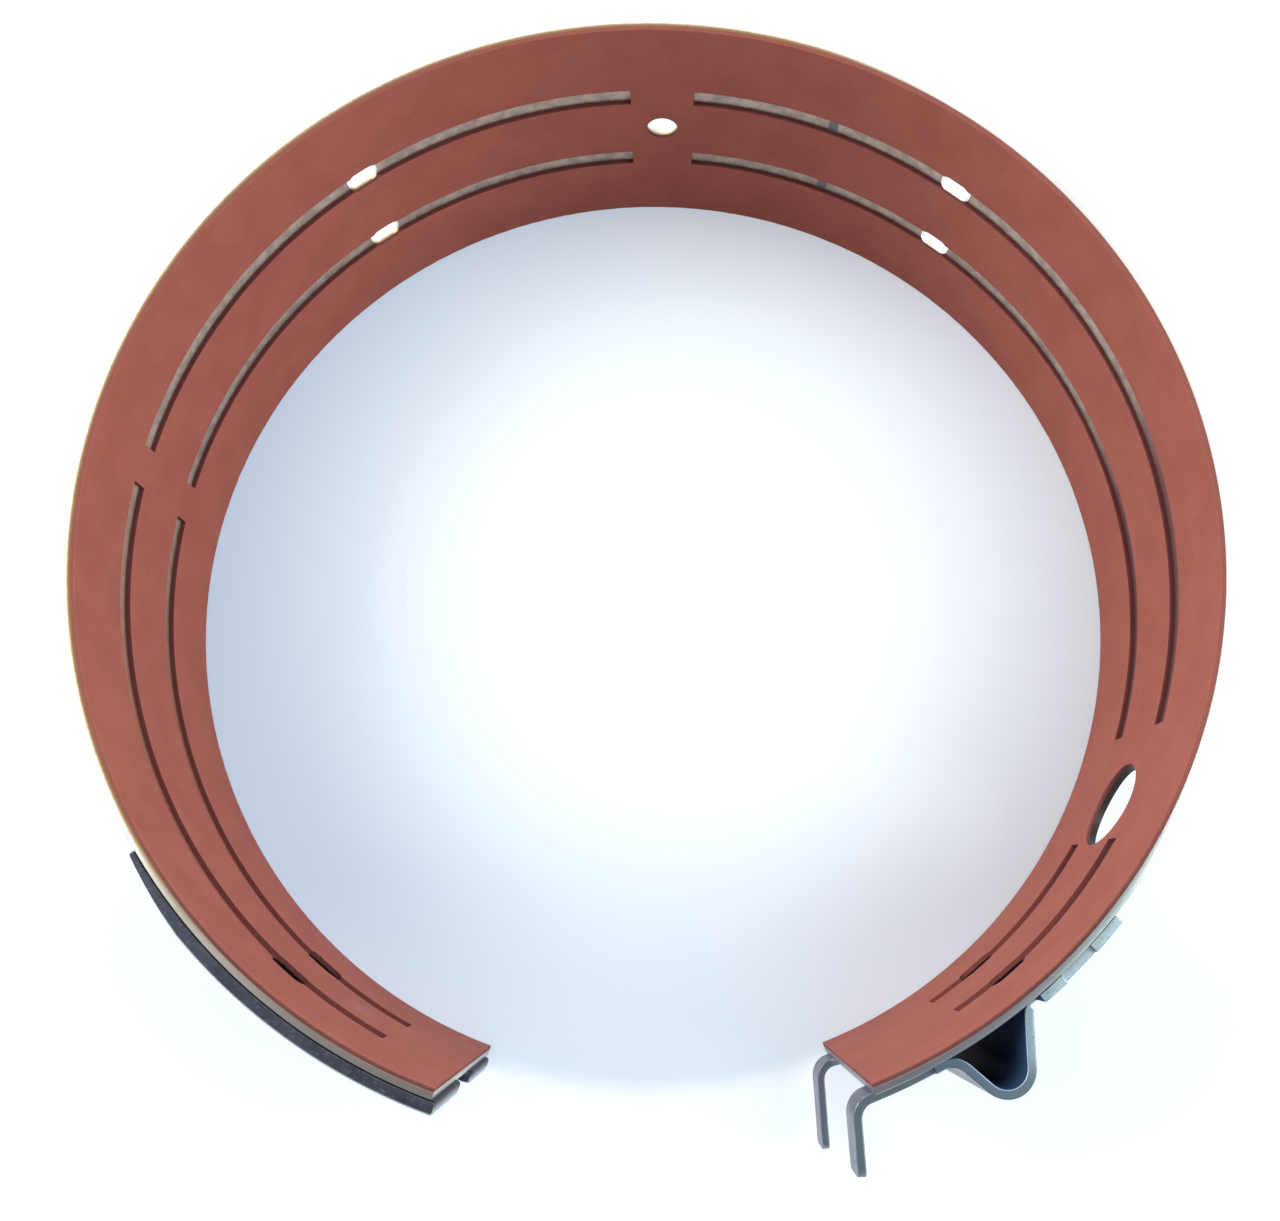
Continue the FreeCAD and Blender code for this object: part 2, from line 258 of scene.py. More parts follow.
    def noise(self, size_mm: float, detail: float = 2.0, place: Socket | None = None,
              roughness: float = 0.5) -> Socket:
        """Makes noise of a real grain size.

        Args:
            size_mm: The width of one patch in millimetres.
            detail: How many finer layers it has.
            place: Where it is read, by default the object's own place.
            roughness: How strong the finer layers are.

        Returns:
            The noise, from zero to one.
        """
        made = add(self.tree, "TexNoise", {"Vector": place or self.place, "Scale": 1 / (size_mm * MM),
                                           "Detail": detail, "Roughness": roughness})
        return made.outputs["Fac"]

    def patches(self, size_mm: float, limits: Limits = (0.35, 0.65), detail: float = 3.0) -> Socket:
        """Gives the mask of soft patches of a real size, which grow between two limits of noise."""
        return self.step(self.noise(size_mm, detail), *limits)

    def nearest(self, spots: list[Vector]) -> Socket:
        """Gives the distance to the nearest of several spots.

        Args:
            spots: Their places.

        Returns:
            The distance in metres.
        """
        least = None
        for spot in spots:
            away = self.vector("DISTANCE", self.place, spot, "Value")
            least = away if least is None else self.maths("MINIMUM", least, away)
        return least

    def blend(self, mask: Value, first: Value, second: Value) -> Socket:
        """Mixes two colours.

        Args:
            mask: Zero for the first colour, one for the second.
            first: A socket or a linear colour.
            second: A socket or a linear colour.

        Returns:
            The mixed colour's socket.
        """
        return add(self.tree, "Mix", {0: mask, 6: first, 7: second}, data_type="RGBA").outputs[2]

    def pair(self, mask: Value, first: str, second: str) -> Socket:
        """Mixes two hex colours by a mask."""
        return self.blend(mask, linear(first), linear(second))

    def paint(self, under: Value, mask: Value, hex_colour: str) -> Socket:
        """Lays a hex colour over another colour where a mask is."""
        return self.blend(mask, under, linear(hex_colour))

    def welded(self, under: Socket, grain: Socket, spots: list[Vector], straw: str, weld: str,
               tint: float) -> Socket:
        """Draws spot welds, each a pressed grey spot in a ring of heat tint.

        Args:
            under: The colour below.
            grain: The noise that makes their borders ragged.
            spots: Their middles.
            straw: The ring's colour.
            weld: The spot's colour.
            tint: How strong the ring is.

        Returns:
            The colour with the welds.
        """
        away = self.ragged(self.nearest(spots), grain, 1.0 * MM)
        ringed = self.paint(under, self.share(self.step(away, *WELD_HEAT), tint), straw)
        return self.paint(ringed, self.step(away, *WELD_EDGE), weld)

    def bump(self, height: Socket, depth_mm: float, strength: float) -> Socket:
        """Raises the surface by a height.

        Args:
            height: The socket with the height, from zero to one.
            depth_mm: How deep it is in millimetres.
            strength: How much of it shows.

        Returns:
            The new normal's socket.
        """
        made = add(self.tree, "Bump", {"Height": height, "Distance": depth_mm * MM, "Strength": strength})
        return made.outputs[0]

    def shade(self, **inputs: Value) -> bpy.types.Material:
        """Ends the material in one principled shader.

        Args:
            inputs: The shader's inputs, with underscores for spaces.

        Returns:
            The finished material.
        """
        links = {name.replace("_", " "): value for name, value in inputs.items()}
        shader = add(self.tree, "BsdfPrincipled", links)
        add(self.tree, "OutputMaterial", {"Surface": shader.outputs[0]})
        return self.material


@dataclass(frozen=True)
class FrictionPaper:
    """Resin-bonded friction paper, die-cut flat and bonded: matt, faintly clouded, with dark cut walls that
    painted shade deepens, and painted shade along its lowest rim.
    """

    face: str = "B66856"
    cloud: str = "AF6251"
    fibre: str = "BD7261"
    pore: str = "9E5343"
    purple_grey: str = "B27A7C"
    rim: str = "8E5044"
    bond_resin: str = "94683F"
    bond_shadow: str = "5E3230"
    far_rim_shade: str = "70343A"
    wall_lip: str = "8C4840"
    wall_lip_left_shade: str = "6E3733"
    wall_foot_shade: str = "602C2C"
    cloud_mm: float = 9.0
    fibre_mm: float = 0.45
    purple_grey_spot: tuple[float, float, float] = (LINING_INNER, 237.5, 29.0 * MM)
    purple_grey_reach: float = 5.5 * MM
    far_rim_shade_height: Limits = (0.8 * MM, 0.4 * MM)
    wall_depth: Limits = (LINING_INNER + 0.1 * MM, LINING_OUTER - 0.1 * MM)
    shadow_depth: Limits = (LINING_OUTER - 0.45 * MM, LINING_OUTER - 0.15 * MM)
    resin_depth: Limits = (LINING_OUTER - 0.15 * MM, LINING_OUTER + 0.15 * MM)
    rim_start: Limits = (MID_WIDTH - 0.7 * MM, MID_WIDTH - 0.4 * MM)
    end_faces: Limits = (-88 * MM, -90 * MM)
    matt: float = 0.82
    ior: float = 1.5

    def material(self) -> bpy.types.Material:
        """Builds the friction paper's material.

        Returns:
            The material.
        """
        s = Surface("friction_paper_die_cut")
        colour = s.pair(s.patches(self.cloud_mm), self.cloud, self.face)
        # Fibres and pores give the eye a dry, felt-like face. They are drawn coarser than real, to show.
        fibres = s.noise(self.fibre_mm)
        colour = s.paint(colour, s.share(s.step(fibres, 0.56, 0.8), 0.6), self.fibre)
        colour = s.paint(colour, s.share(s.step(fibres, 0.42, 0.24), 0.6), self.pore)
        # A soft purple-grey patch between the grooves near the anchor end.
        purple_grey_near = s.step(s.nearest([polar(*self.purple_grey_spot)]), self.purple_grey_reach, 0.0)
        colour = s.paint(colour, s.share(purple_grey_near, 0.5), self.purple_grey)
        rag = s.noise(0.9, 3.0)
        # Painted shade darkens the lining's lowest rim, next to the floor, with a ragged border.
        far_shade = s.step(s.ragged(s.z, rag, 0.5 * MM), *self.far_rim_shade_height)
        colour = s.paint(colour, s.share(far_shade, 0.7), self.far_rim_shade)
        colour = s.blend(s.across(), colour, self.cut_colour(s, rag))
        return s.shade(Base_Color=colour, Roughness=self.matt, IOR=self.ior, Normal=s.bump(fibres, 0.02, 0.6))

    def cut_colour(self, s: Surface, rag: Socket) -> Socket:
        """Colours the cut walls, which painted shade darkens on the left and towards their foot away from the
        gap, and the rims with a painted shadow line at the bond near the gap and their line of bond resin.

        Args:
            s: The material that is being built.
            rag: The noise that makes the lines ragged.

        Returns:
            The cut faces' colour.
        """
        depth = s.ragged(s.radius, rag, 0.3 * MM)
        # Painted shade: the walls are darker on the left and towards their foot, away from the gap.
        lip_with_left_shade = s.pair(s.step(s.x, -20 * MM, 20 * MM), self.wall_lip_left_shade, self.wall_lip)
        foot_shade = s.both(s.step(depth, *self.wall_depth), s.flip(s.toward_gap(0.5, 0.75)))
        wall = s.paint(lip_with_left_shade, foot_shade, self.wall_foot_shade)
        wall = s.paint(wall, s.step(s.y, *self.end_faces), self.wall_lip)
        shadow = s.both(s.step(depth, *self.shadow_depth), s.toward_gap(0.35, 0.75))
        rim = s.pair(shadow, self.rim, self.bond_shadow)
        rim = s.paint(rim, s.both(s.step(depth, *self.resin_depth), s.resin_shows()), self.bond_resin)
        return s.blend(s.step(s.from_middle, *self.rim_start), wall, rim)


@dataclass(frozen=True)
class StripSteel:
    """Cold-rolled strip steel, slit and punched: bright sheared edges, rolling lines, resin stains inside."""

    rolled: str = "A9A6A2"
    oil_tint: str = "8F8B80"
    sheared: str = "E6E6E2"
    anchor_rim: str = "A8A298"
    anchor_tip: str = "878280"
    anchor_end: str = "C2C2BC"
    apply_rim: str = "8F9C9D"
    apply_tip: str = "777A81"
    apply_end: str = "8A8684"
    bond_resin: str = "A68653"
    slot_shade: str = "3C3836"
    loop_shade: str = "3D5678"
    resin_stain: str = "C2B3A4"
    resin_film: str = "A9988A"
    fillet_shade: str = "6A4038"
    resin_thick: str = "B4785C"
    right_floor_shade: str = "7B504E"
    shaded_side: float = -20.0
    mark: str = "757377"
    mark_angle: float = 68.3
    mark_width: Limits = (1.7 * MM, 1.2 * MM)
    line_mm: float = 0.35
    line_stretch: tuple[float, float, float] = (0.02, 1.0, 1.0)
    inner_face: Limits = (LINING_OUTER + 0.3 * MM, LINING_OUTER + 0.1 * MM)
    back_face: Limits = (STRAP_OUTER - 0.3 * MM, STRAP_OUTER)
    resin_depth: Limits = (LINING_OUTER + 0.95 * MM, LINING_OUTER + 0.3 * MM)
    past_rims: Limits = (MID_WIDTH - 0.5 * MM, MID_WIDTH - 1.0 * MM)
    fillet_shade_width: Limits = (1.15 * MM, 0.3 * MM)

    def material(self) -> bpy.types.Material:
        """Builds the strip steel's material.

        Returns:
            The material.
        """
        s = Surface("cold_rolled_strip_steel")
        # Lines round the band give the eye the rolling direction. They are drawn coarser than real, to show.
        lines = s.noise(self.line_mm, 3.0, s.unrolled(self.line_stretch), 0.6)
        colour = s.pair(s.patches(14.0, (0.35, 0.7)), self.rolled, self.oil_tint)
        colour = s.paint(colour, s.share(s.step(lines, 0.4, 0.7), 0.35), self.sheared)
        edge = s.across()
        # Painted shade: inside the loop the strap's back is coloured dark navy and given almost no sheen.
        loop_shaded = s.both(self.in_loop(s), s.flip(edge))
        colour = s.paint(colour, loop_shaded, self.loop_shade)
        colour = s.blend(edge, colour, self.cut_colour(s))
        stained = s.both(s.step(s.radius, *self.inner_face), s.flip(edge))
        colour = s.blend(stained, colour, self.groove_floor(s))
        rough = s.maths("MULTIPLY_ADD", lines, 0.2, 0.3)
        rough = s.maths("MULTIPLY_ADD", stained, 0.1, rough)
        metal = s.maths("SUBTRACT", s.maths("MULTIPLY_ADD", stained, -0.4, 1.0), loop_shaded)
        sheen = s.maths("MULTIPLY_ADD", loop_shaded, LOOP_SHADE_SHEEN - PLAIN_SHEEN, PLAIN_SHEEN)
        return s.shade(Base_Color=colour, Roughness=rough, Metallic=metal, Specular_IOR_Level=sheen,
                       Normal=s.bump(lines, 0.01, 0.5))

    def in_loop(self, s: Surface) -> Socket:
        """Gives the mask of the strap's back inside the apply bracket's loop, which painted shade darkens.

        Args:
            s: The material that is being built.

        Returns:
            The mask.
        """
        sides = s.both(s.step(s.x, 40 * MM, 44 * MM), s.step(s.x, 64 * MM, 60 * MM))
        back = s.both(s.step(s.y, -70 * MM, -74 * MM), s.step(s.radius, *self.back_face))
        return s.both(sides, back)

    def cut_colour(self, s: Surface) -> Socket:
        """Colours the cut faces: bright rims, dulled towards both ends by painted reflection, and walls in the
        low holes darkened by painted shade.

        Args:
            s: The material that is being built.

        Returns:
            The cut faces' colour.
        """
        left = s.step(s.x, 5 * MM, -5 * MM)
        dull = s.pair(left, self.apply_rim, self.anchor_rim)
        # Painted reflection: the bright rims dull towards both ends, with a tint of their own at each end.
        rim = s.blend(s.toward_gap(0.42, 0.7), linear(self.sheared), dull)
        rim = s.blend(s.toward_gap(0.7, 0.87), rim, s.pair(left, self.apply_tip, self.anchor_tip))
        rim = s.paint(rim, s.share(s.patches(0.5, (0.55, 0.75)), 0.25), self.oil_tint)
        depth = s.ragged(s.radius, s.noise(0.9, 3.0), 0.3 * MM)
        rim = s.paint(rim, s.both(s.step(depth, *self.resin_depth), s.resin_shows()), self.bond_resin)
        inside = s.step(s.from_middle, *self.past_rims)
        end_face = s.pair(left, self.apply_end, self.anchor_end)
        rim = s.blend(s.both(inside, s.step(s.y, -35 * MM, -40 * MM)), rim, end_face)
        # Painted shade darkens the walls of the low holes.
        far_from_ends = s.step(s.maths("ABSOLUTE", s.x), 42 * MM, 46 * MM)
        shaded_low_hole = s.both(s.both(inside, far_from_ends), s.step(s.y, -34 * MM, -38 * MM))
        return s.paint(rim, shaded_low_hole, self.slot_shade)

    def groove_floor(self, s: Surface) -> Socket:
        """Colours the grooves' floor: tan resin film, thicker near the gap, with painted shade on the right
        and along each groove's lower wall, and a dark mark.

        Args:
            s: The material that is being built.

        Returns:
            The floor's colour.
        """
        floor = s.pair(s.patches(2.2, detail=4.0), self.resin_stain, self.resin_film)
        floor = s.paint(floor, s.toward_gap(-0.35, 0.5), self.resin_thick)
        # Painted shade darkens the floor on the right.
        shaded = s.step(s.dot(s.outward, polar(1.0, self.shaded_side, 0.0)), 0.7, 0.9)
        floor = s.paint(floor, shaded, self.right_floor_shade)
        rag = s.noise(0.8)
        # Painted shade along the foot of each groove's lower wall, weaker near the gap.
        fillet_shade_share = s.share(s.flip(s.share(s.toward_gap(0.1, 0.6), 0.6)), 0.85)
        for row in GROOVE_ROWS:
            away = s.maths("ABSOLUTE", s.maths("SUBTRACT", s.z, row - GROOVE_WIDTH / 2))
            away = s.ragged(away, rag, 0.4 * MM)
            floor = s.paint(floor, s.both(s.step(away, *self.fillet_shade_width), fillet_shade_share), self.fillet_shade)
        beside = s.maths("ABSOLUTE", s.dot(s.place, polar(1.0, self.mark_angle + 90.0, 0.0)))
        beside = s.ragged(beside, rag, 0.8 * MM)
        in_front = s.step(s.dot(s.place, polar(1.0, self.mark_angle, 0.0)), 0.0, 20 * MM)
        return s.paint(floor, s.both(s.step(beside, *self.mark_width), in_front), self.mark)


@dataclass(frozen=True)
class OiledPlate:
    """Hot-rolled plate with its dark mill scale under a film of oil, blanked, so its cut faces are barer."""

    scale: str = "444851"
    blue_scale: str = "393E49"
    speck: str = "5E646D"
    rub: str = "6C747D"
    outer_edge_highlight: str = "C9D2D5"
    end_shade: str = "50555E"
    end_face: str = "B9C4CB"
    notch: str = "2E3340"
    seam: str = "1E2126"
    straw: str = "6A5842"
    weld: str = "777B80"
    grain_mm: float = 0.6
    outer_edge: Limits = (STRAP_OUTER + 1.6 * MM, STRAP_OUTER + 1.9 * MM)
    bare_end: Limits = (STRAP_OUTER + 0.7 * MM, PLATE_OUTER)
    seam_depth: Limits = (STRAP_OUTER + 0.3 * MM, STRAP_OUTER + 0.1 * MM)
    notch_width: Limits = (6.5 * MM, 6.0 * MM)
    notch_depth: Limits = (-10.0 * MM, -8.5 * MM)
    metallic: float = 0.85

    def material(self) -> bpy.types.Material:
        """Builds the oiled plate's material.

        Returns:
            The material.
        """
        s = Surface("hot_rolled_plate_oiled")
        # Blue-black patches with light specks give the eye oiled mill scale. The specks are drawn coarser
        # than real, to show.
        colour = s.pair(s.patches(5.0), self.scale, self.blue_scale)
        grain = s.noise(self.grain_mm, 4.0)
        colour = s.paint(colour, s.share(s.step(grain, 0.5, 0.75), 0.5), self.speck)
        rubbed = s.rubbed()
        worn = s.both(rubbed, s.patches(2.5, (0.4, 0.6)))
        colour = s.paint(colour, s.share(worn, 0.6), self.rub)
        # Painted highlight on the outer eased edge.
        bright = s.both(rubbed, s.step(s.radius, *self.outer_edge))
        colour = s.paint(colour, s.share(bright, 0.8), self.outer_edge_highlight)
        colour = self.end_colour(s, colour, grain)
        spots = [polar(PLATE_OUTER, ANCHOR_END - math.degrees(away / STRAP_OUTER), level)
                 for away in ANCHOR_WELDS for level in WELD_LEVELS]
        colour = s.welded(colour, grain, spots, self.straw, self.weld, 0.6)
        colour = s.paint(colour, s.step(s.radius, *self.seam_depth), self.seam)
        rough = s.maths("MULTIPLY_ADD", grain, 0.25, 0.34)
        return s.shade(Base_Color=colour, Roughness=rough, Metallic=self.metallic,
                       Normal=s.bump(grain, 0.03, 0.5))

    def end_colour(self, s: Surface, colour: Socket, grain: Socket) -> Socket:
        """Colours the plate's end: bare grey, darkened next to the strap partly by scale and partly by painted
        shade, and painted shade in the notch.

        Args:
            s: The material that is being built.
            colour: The plate's colour so far.
            grain: The scale's grain.

        Returns:
            The colour with the end's own.
        """
        heading = polar(1.0, ANCHOR_END + 90.0, 0.0)
        faces_end = s.step(s.dot(s.normal, heading), 0.5, 0.8)
        along = s.dot(s.place, heading)
        bare = s.step(s.ragged(s.radius, grain, 0.8 * MM), *self.bare_end)
        end = s.pair(bare, self.end_shade, self.end_face)
        colour = s.blend(s.both(faces_end, s.step(along, -3.0 * MM, -1.0 * MM)), colour, end)
        # Painted shade on the faces inside the notch.
        in_notch = s.both(s.step(s.from_middle, *self.notch_width), s.step(along, *self.notch_depth))
        turned_in = s.step(s.dot(s.normal, s.outward), 0.8, 0.5)
        return s.paint(colour, s.both(in_notch, turned_in), self.notch)


@dataclass(frozen=True)
class PressedSheet:
    """Cold-formed sheet steel with a film of oil: grey faces, speckled sheared edges and a loop that painted
    shade darkens inside.
    """

    face: str = "8C8D96"
    stain: str = "73767E"
    heel_edge: str = "98AEB5"
    loop_edge: str = "8CA5AE"
    loop_foot: str = "64767F"
    loop_fore: str = "5F7284"
    fork_edge: str = "66727A"
    edge_speck: str = "55646D"
    loop_edge_highlight: str = "A3B7C2"
    loop_edge_shade: str = "4C5A66"
    rub: str = "A9AFB4"
    loop_shade: str = "3D5678"
    straw: str = "8A7048"
    weld: str = "A2A6A9"
    grain_mm: float = 0.4
    loop_middle: tuple[float, float, float] = (55.0 * MM, -88.5 * MM, 0.0)
    loop_reach: Limits = (15.0 * MM, 12.0 * MM)
    loop_shade_border: Limits = (66.0 * MM, 64.5 * MM)
    metallic: float = 0.9

    def material(self) -> bpy.types.Material:
        """Builds the pressed sheet's material.

        Returns:
            The material.
        """
        s = Surface("pressed_sheet_steel_oiled")
        # Faint stains and grain give the eye a wiped but oily sheet. The grain is coarser than real, to show.
        colour = s.pair(s.patches(6.0), self.face, self.stain)
        grain = s.noise(self.grain_mm, 3.0)
        spots = [polar(SHEET_OUTER, APPLY_END + math.degrees(away / STRAP_OUTER), level)
                 for away in APPLY_WELDS for level in WELD_LEVELS]
        colour = s.welded(colour, grain, spots, self.straw, self.weld, 0.5)
        near, looks_in, looks_out = self.loop_masks(s)
        upright = s.upright()
        # Painted shade: the faces inside the loop are coloured dark navy and given almost no sheen, up to a
        # ragged border on the heel.
        film = s.step(s.ragged(s.x, s.noise(2.5, 3.0), 3.0 * MM), *self.loop_shade_border)
        loop_shaded = s.both(s.both(s.both(near, looks_in), s.flip(upright)), film)
        colour = s.paint(colour, loop_shaded, self.loop_shade)
        colour = s.blend(upright, colour, self.edge_colour(s, grain))
        rubbed = s.rubbed()
        worn = s.both(s.both(rubbed, s.patches(2.0, (0.4, 0.6))), s.flip(near))
        colour = s.paint(colour, s.share(worn, 0.5), self.rub)
        # Painted highlight on the loop's eased edge on its inner side, and painted shade on its outer side.
        on_loop = s.both(rubbed, near)
        colour = s.paint(colour, s.both(on_loop, looks_in), self.loop_edge_highlight)
        colour = s.paint(colour, s.both(on_loop, looks_out), self.loop_edge_shade)
        rough = s.maths("MULTIPLY_ADD", grain, 0.2, 0.32)
        metal = s.maths("MULTIPLY_ADD", loop_shaded, -self.metallic, self.metallic)
        sheen = s.maths("MULTIPLY_ADD", loop_shaded, LOOP_SHADE_SHEEN - PLAIN_SHEEN, PLAIN_SHEEN)
        return s.shade(Base_Color=colour, Roughness=rough, Metallic=metal, Specular_IOR_Level=sheen,
                       Normal=s.bump(grain, 0.02, 0.5))

    def edge_colour(self, s: Surface, grain: Socket) -> Socket:
        """Colours the sheared edges: light on the heel and the loop, darker at its foot and on the fork.

        Args:
            s: The material that is being built.
            grain: The fine grain of the sheared edge.

        Returns:
            The edges' colour.
        """
        loop = s.pair(s.step(s.y, -87.0 * MM, -93.0 * MM), self.loop_edge, self.loop_foot)
        loop = s.paint(loop, s.step(s.x, 56.0 * MM, 51.0 * MM), self.loop_fore)
        edge = s.paint(loop, s.step(s.x, 61.5 * MM, 63.0 * MM), self.heel_edge)
        edge = s.paint(edge, s.step(s.x, 45.0 * MM, 42.0 * MM), self.fork_edge)
        return s.paint(edge, s.share(s.step(grain, 0.5, 0.75), 0.45), self.edge_speck)

    def loop_masks(self, s: Surface) -> tuple[Socket, Socket, Socket]:
        """Masks the loop.

        Args:
            s: The material that is being built.

        Returns:
            Three masks: what is near the loop, what looks into it and what looks away from it.
        """
        level = s.vector("MULTIPLY", s.vector("SUBTRACT", self.loop_middle, s.place), (1.0, 1.0, 0.0))
        looks = s.dot(s.normal, level)
        near = s.step(s.vector("LENGTH", level, outlet="Value"), *self.loop_reach)
        return near, s.step(looks, 0.0, 1.0 * MM), s.step(looks, 0.0, -1.0 * MM)


class Part(Enum):
    """The kinds of mesh element that can be chosen in edit mode."""

    VERTEX = "VERT"
    EDGE = "EDGE"


def pick(piece: bpy.types.Object | None) -> None:
    """Selects one object alone and makes it active, or selects nothing.

    Args:
        piece: The object, or None.
    """
    bpy.ops.object.select_all(action="DESELECT")
    if piece is not None:
        piece.select_set(True)
        bpy.context.view_layer.objects.active = piece


@contextmanager
def editing(piece: bpy.types.Object, part: Part = Part.VERTEX) -> Iterator[None]:
    """Holds one object in edit mode with all of it selected.

    Args:
        piece: The object.
        part: The kind of element that is selected.
    """
    pick(piece)
    bpy.ops.object.mode_set(mode="EDIT")
    bpy.ops.mesh.select_mode(type=part.value)
    bpy.ops.mesh.select_all(action="SELECT")
    yield
    bpy.ops.object.mode_set(mode="OBJECT")


def choose(piece: bpy.types.Object, part: Part, test: Callable[[list[Vector]], bool]) -> None:
    """Selects the elements of the mesh in edit mode whose corners pass a test.

    Args:
        piece: The object in edit mode.
        part: The kind of element.
        test: Takes the element's corner places and says whether it is chosen.
    """
    shape = bmesh.from_edit_mesh(piece.data)
    for corner in shape.verts:
        corner.select_set(False)
    shape.select_flush(False)
    if part is Part.VERTEX:
        chosen = [corner for corner in shape.verts if test([corner.co])]
    else:
        chosen = [edge for edge in shape.edges if test([corner.co for corner in edge.verts])]
    for each in chosen:
        each.select_set(True)
    bmesh.update_edit_mesh(piece.data)


def settle(piece: bpy.types.Object, place: Vector, turn: tuple[float, float, float]) -> None:
    """Turns and moves a piece, and puts its place into its mesh.

    Args:
        piece: The object, which lies at the origin.
        place: Where it goes, in metres.
        turn: Its turns about X, Y and Z in radians.
    """
    piece.rotation_euler = turn
    piece.location = place
    pick(piece)
    bpy.ops.object.transform_apply(location=True, rotation=True, scale=True)


def finish_modifier(piece: bpy.types.Object, kind: str, **settings: object) -> None:
    """Adds a modifier with its settings and applies it.

    Args:
        piece: The object.
        kind: The modifier's type.
        settings: The modifier's settings.
    """
    pick(piece)
    made = piece.modifiers.new(kind.lower(), kind)
    for name, value in settings.items():
        setattr(made, name, value)
    bpy.ops.object.modifier_apply(modifier=made.name)


@dataclass
class Sector:
    """A ring sector about the drum's axis, spun from its cross-section."""

    name: str
    inner: float
    outer: float
    low: float
    high: float
    start: float
    end: float
    steps: int
    inner_rounding: float = 0.0
    outer_rounding: float = 0.0
    rounding_segments: int = 4

    def build(self) -> bpy.types.Object:
        """Draws the cross-section, rounds its corners, spins it and closes its ends.

        Returns:
            The ring sector.
        """
        pick(None)
        bpy.ops.mesh.primitive_plane_add(size=1.0, location=(0, 0, 0))
        piece = bpy.context.active_object
        piece.name = self.name
        middle = (self.inner + self.outer) / 2
        with editing(piece):
            bpy.ops.transform.resize(value=(self.outer - self.inner, self.high - self.low, 1.0))
            bpy.ops.transform.rotate(value=math.pi / 2, orient_axis="X", center_override=(0, 0, 0))
            bpy.ops.transform.translate(value=(middle, 0, (self.low + self.high) / 2))
            self.round_corners(piece, self.inner_rounding, lambda x: x < middle)
            self.round_corners(piece, self.outer_rounding, lambda x: x > middle)
        settle(piece, Vector(), (0, 0, math.radians(self.start)))
        with editing(piece):
            bpy.ops.mesh.delete(type="ONLY_FACE")
            bpy.ops.mesh.select_all(action="SELECT")
            sweep = math.radians(self.start - self.end)
            bpy.ops.mesh.spin(steps=self.steps, angle=sweep, center=(0, 0, 0), axis=(0, 0, 1))
            for stop in (self.start, self.end):
                choose(piece, Part.EDGE, lambda ends: all(abs(angle_of(e) - stop) < ANGLE_SLACK for e in ends))
                bpy.ops.mesh.edge_face_add()
            bpy.ops.mesh.select_all(action="SELECT")
            bpy.ops.mesh.normals_make_consistent(inside=False)
        return piece

    def round_corners(self, piece: bpy.types.Object, radius: float, side: Callable[[float], bool]) -> None:
        """Rounds the cross-section's two corners on one side.

        Args:
            piece: The cross-section, in edit mode.
            radius: The corner's radius, or zero for a sharp one.
            side: Takes a radius and says whether it is on that side.
        """
        if radius > 0:
            choose(piece, Part.VERTEX, lambda corner: side(corner[0].x))
            bpy.ops.mesh.bevel(offset=radius, segments=self.rounding_segments, affect="VERTICES")


@dataclass(frozen=True)
class SlotPair:
    """Two oil slots of one size, one in each row."""

    angle: float
    offset: float
    length: float
    width: float


